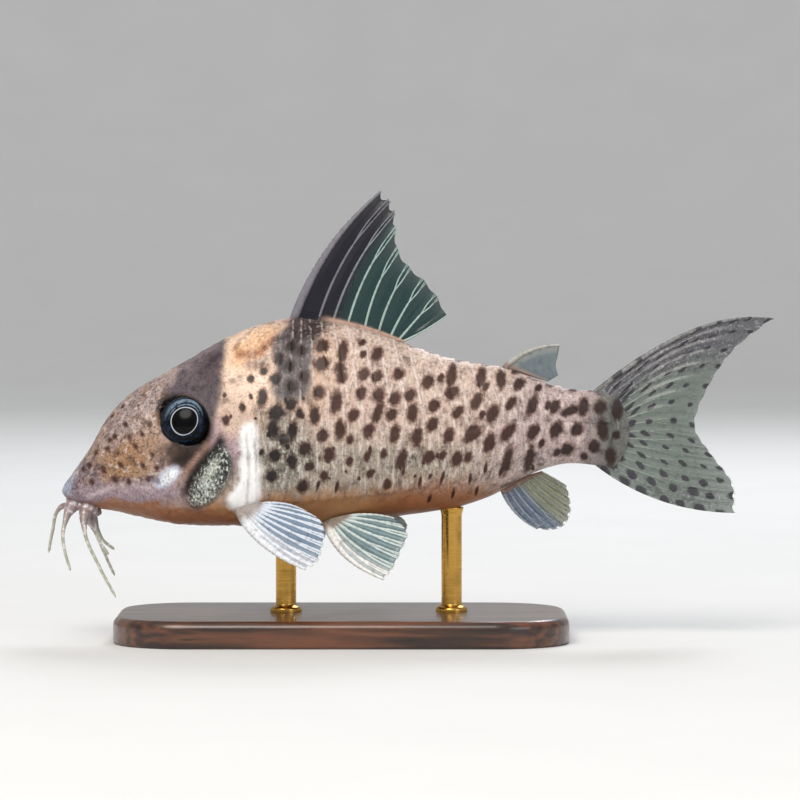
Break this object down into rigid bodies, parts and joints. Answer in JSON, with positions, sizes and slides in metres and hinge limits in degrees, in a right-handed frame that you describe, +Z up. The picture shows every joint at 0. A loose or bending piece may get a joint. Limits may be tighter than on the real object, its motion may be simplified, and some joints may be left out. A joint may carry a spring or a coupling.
{
  "type": "corydoras catfish",
  "caption": "Life-size spotted corydoras catfish with plated flanks, barbels and spread fins, held over a flat wooden base by short brass rods.",
  "frame": {"origin": "centre of the display base's flat underside", "axes": "+Z up, +X towards the tail fin, +Y towards the fish's right flank"},
  "size_m": [0.0679, 0.0268, 0.0416],
  "materials": {
    "head_skin": "satin skin, golden brown with fine dark speckles and a grey mask",
    "gill_cover": "glossy silver green with dark flecks",
    "flank_plates": "satin pinkish beige plates with rows of dark brown spots",
    "fin": "clear bluish grey membrane with pale rays",
    "eye": "wet gloss, blue black iris with a silver ring round the pupil",
    "barbel": "pale translucent skin",
    "stand_wood": "dark stained, satin varnish",
    "stand_brass": "polished"
  },
  "bodies": {
    "root": {"head": "head_skin", "gill_cover_left": "gill_cover", "gill_cover_right": "gill_cover", "eye_left": "eye", "eye_right": "eye", "trunk": "flank_plates", "tail_stalk": "flank_plates", "dorsal_fin": "fin", "adipose_fin": "fin", "caudal_fin": "fin", "anal_fin": "fin", "pectoral_fin_left": "fin", "pectoral_fin_right": "fin", "pelvic_fin_left": "fin", "pelvic_fin_right": "fin", "maxillary_barbel_left": "barbel", "maxillary_barbel_right": "barbel", "rictal_barbel_left": "barbel", "rictal_barbel_right": "barbel", "chin_barbel_left": "barbel", "chin_barbel_right": "barbel", "stand_base": "stand_wood", "stand_rod_front": "stand_brass", "stand_rod_back": "stand_brass"}
  },
  "joints": []
}
